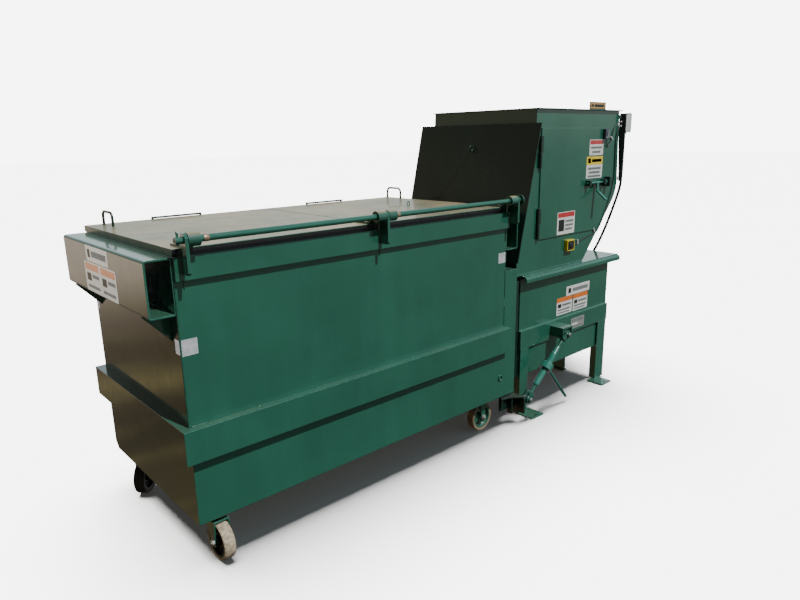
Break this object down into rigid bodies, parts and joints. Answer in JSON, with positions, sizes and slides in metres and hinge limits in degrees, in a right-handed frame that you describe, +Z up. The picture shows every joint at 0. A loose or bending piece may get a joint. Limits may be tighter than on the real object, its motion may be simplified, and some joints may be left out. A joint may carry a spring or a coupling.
{
  "type": "trash compactor",
  "caption": "Stationary compactor with feed hopper and side door, docked by ratchet binders to a wheeled steel container with two hinged lids.",
  "frame": {"origin": "floor level at the centre of the four anchor holes in the compactor's feet", "axes": "+X from the container towards the compactor and its power unit, +Y away from the access door side, +Z up"},
  "size_m": [3.331, 1.0769, 1.83],
  "materials": {
    "green_enamel": "gloss",
    "dark_green_enamel": "gloss",
    "lid_enamel": "gloss, dusty",
    "dark_iron": "satin",
    "worn_tread": "dusty",
    "dark_tread": "matt",
    "brown_tread": "dusty",
    "worn_steel": "worn",
    "tan_sign": "satin",
    "teal_enamel": "gloss",
    "switch_shell": "satin",
    "yellow_housing": "satin",
    "dark_box": "satin",
    "pale_box": "satin",
    "black_sheath": "matt",
    "grey_sheath": "matt",
    "cylinder_black": "gloss",
    "chrome_rod": "polished",
    "motor_grey": "satin",
    "binder_steel": "gloss"
  },
  "bodies": {
    "frame": {"container_shell": "green_enamel", "container_band": "green_enamel", "container_top_rails": "green_enamel", "fork_pockets": "green_enamel", "docking_collar": "green_enamel", "lid_hinge_rod": "green_enamel", "container_catches": "dark_green_enamel", "caster_mounts": "green_enamel", "body_sides": "green_enamel", "charge_floor": "worn_steel", "rear_wall": "green_enamel", "roof": "green_enamel", "throat": "dark_green_enamel", "legs": "green_enamel", "binder_brackets": "green_enamel", "hopper_sides": "green_enamel", "hopper_end_walls": "green_enamel", "hopper_rim": "green_enamel", "rim_sign": "tan_sign", "front_guard": "dark_green_enamel", "door_hinge_pintles": "dark_green_enamel", "latch_keeper": "dark_green_enamel", "interlock_switch": "switch_shell", "photo_eye": "yellow_housing", "junction_box": "dark_box", "junction_box_cover": "pale_box", "conduit": "black_sheath", "signal_cables": "grey_sheath", "cylinder_barrel": "cylinder_black", "cylinder_anchor": "green_enamel", "oil_tank": "green_enamel", "electric_motor": "motor_grey", "hydraulic_hoses": "black_sheath", "binder_screws": "binder_steel"},
    "left lid": {"left_lid": "lid_enamel", "left_lid_grips": "dark_green_enamel"},
    "right lid": {"right_lid": "lid_enamel", "right_lid_grips": "dark_green_enamel"},
    "near left swivel": {"near_left_caster_fork": "green_enamel"},
    "far left swivel": {"far_left_caster_fork": "dark_iron"},
    "near left wheel": {"near_left_wheel": "dark_iron", "near_left_tread": "worn_tread"},
    "far left wheel": {"far_left_wheel": "dark_iron", "far_left_tread": "dark_tread"},
    "near right wheel": {"near_right_wheel": "green_enamel", "near_right_tread": "brown_tread"},
    "far right wheel": {"far_right_wheel": "green_enamel", "far_right_tread": "brown_tread"},
    "door": {"access_door": "green_enamel", "door_hinge_leaves": "dark_green_enamel", "latch_guides": "dark_green_enamel", "interlock_magnet": "switch_shell"},
    "latch": {"door_latch_bolt": "teal_enamel"},
    "ram head": {"ram": "worn_steel", "cylinder_plunger": "chrome_rod"},
    "stage": {"cylinder_stage": "chrome_rod"},
    "near binder barrel": {"near_binder_barrel": "teal_enamel"},
    "near binder handle": {"near_binder_handle": "teal_enamel"},
    "far binder barrel": {"far_binder_barrel": "teal_enamel"},
    "far binder handle": {"far_binder_handle": "teal_enamel"}
  },
  "joints": [
    {"name": "ram_slide", "type": "slide", "parent": "frame", "child": "ram head", "axis": [-1, 0, 0], "range_m": [0, 0.815]},
    {"name": "stage_slide", "type": "slide", "parent": "frame", "child": "stage", "axis": [-1, 0, 0], "range_m": [0, 0.4075]},
    {"name": "door_hinge", "type": "hinge", "parent": "frame", "child": "door", "pos_m": [-0.314, -0.419, 1.35], "axis": [0, 0, -1], "range_deg": [0, 120]},
    {"name": "latch_slide", "type": "slide", "parent": "door", "child": "latch", "axis": [-1, 0, 0], "range_m": [0, 0.07]},
    {"name": "left_lid_hinge", "type": "hinge", "parent": "frame", "child": "left lid", "pos_m": [-2, -0.512, 1.312], "axis": [1, 0, 0], "range_deg": [0, 260]},
    {"name": "right_lid_hinge", "type": "hinge", "parent": "frame", "child": "right lid", "pos_m": [-1.1, -0.512, 1.312], "axis": [1, 0, 0], "range_deg": [0, 260]},
    {"name": "near_left_swivel", "type": "hinge", "parent": "frame", "child": "near left swivel", "pos_m": [-2.391, -0.386, 0.18], "axis": [0, 0, 1], "continuous": true},
    {"name": "far_left_swivel", "type": "hinge", "parent": "frame", "child": "far left swivel", "pos_m": [-2.391, 0.325, 0.18], "axis": [0, 0, 1], "continuous": true},
    {"name": "near_left_wheel_spin", "type": "hinge", "parent": "near left swivel", "child": "near left wheel", "pos_m": [-2.391, -0.434, 0.08], "axis": [1, 0, 0], "continuous": true},
    {"name": "far_left_wheel_spin", "type": "hinge", "parent": "far left swivel", "child": "far left wheel", "pos_m": [-2.42343, 0.28961, 0.08], "axis": [0.7373, -0.6756, 0], "continuous": true},
    {"name": "near_right_wheel_spin", "type": "hinge", "parent": "frame", "child": "near right wheel", "pos_m": [-0.752, -0.373, 0.08], "axis": [0, 1, 0], "continuous": true},
    {"name": "far_right_wheel_spin", "type": "hinge", "parent": "frame", "child": "far right wheel", "pos_m": [-0.752, 0.325, 0.08], "axis": [0, 1, 0], "continuous": true},
    {"name": "near_binder_barrel_spin", "type": "hinge", "parent": "frame", "child": "near binder barrel", "pos_m": [-0.28774, -0.499, 0.29415], "axis": [0.7594, 0, 0.6506], "range_deg": [-85, 0]},
    {"name": "far_binder_barrel_spin", "type": "hinge", "parent": "frame", "child": "far binder barrel", "pos_m": [-0.28774, 0.499, 0.29415], "axis": [0.7594, 0, 0.6506], "range_deg": [0, 85]},
    {"name": "near_binder_handle_swing", "type": "hinge", "parent": "near binder barrel", "child": "near binder handle", "pos_m": [-0.2885, -0.499, 0.2935], "axis": [0.7594, 0, 0.6506], "range_deg": [-85, 0]},
    {"name": "far_binder_handle_swing", "type": "hinge", "parent": "far binder barrel", "child": "far binder handle", "pos_m": [-0.2885, 0.499, 0.2935], "axis": [0.7594, 0, 0.6506], "range_deg": [0, 85]}
  ],
  "couplings": [
    {"joint": "stage_slide", "follows": "ram_slide", "ratio": 0.5}
  ]
}
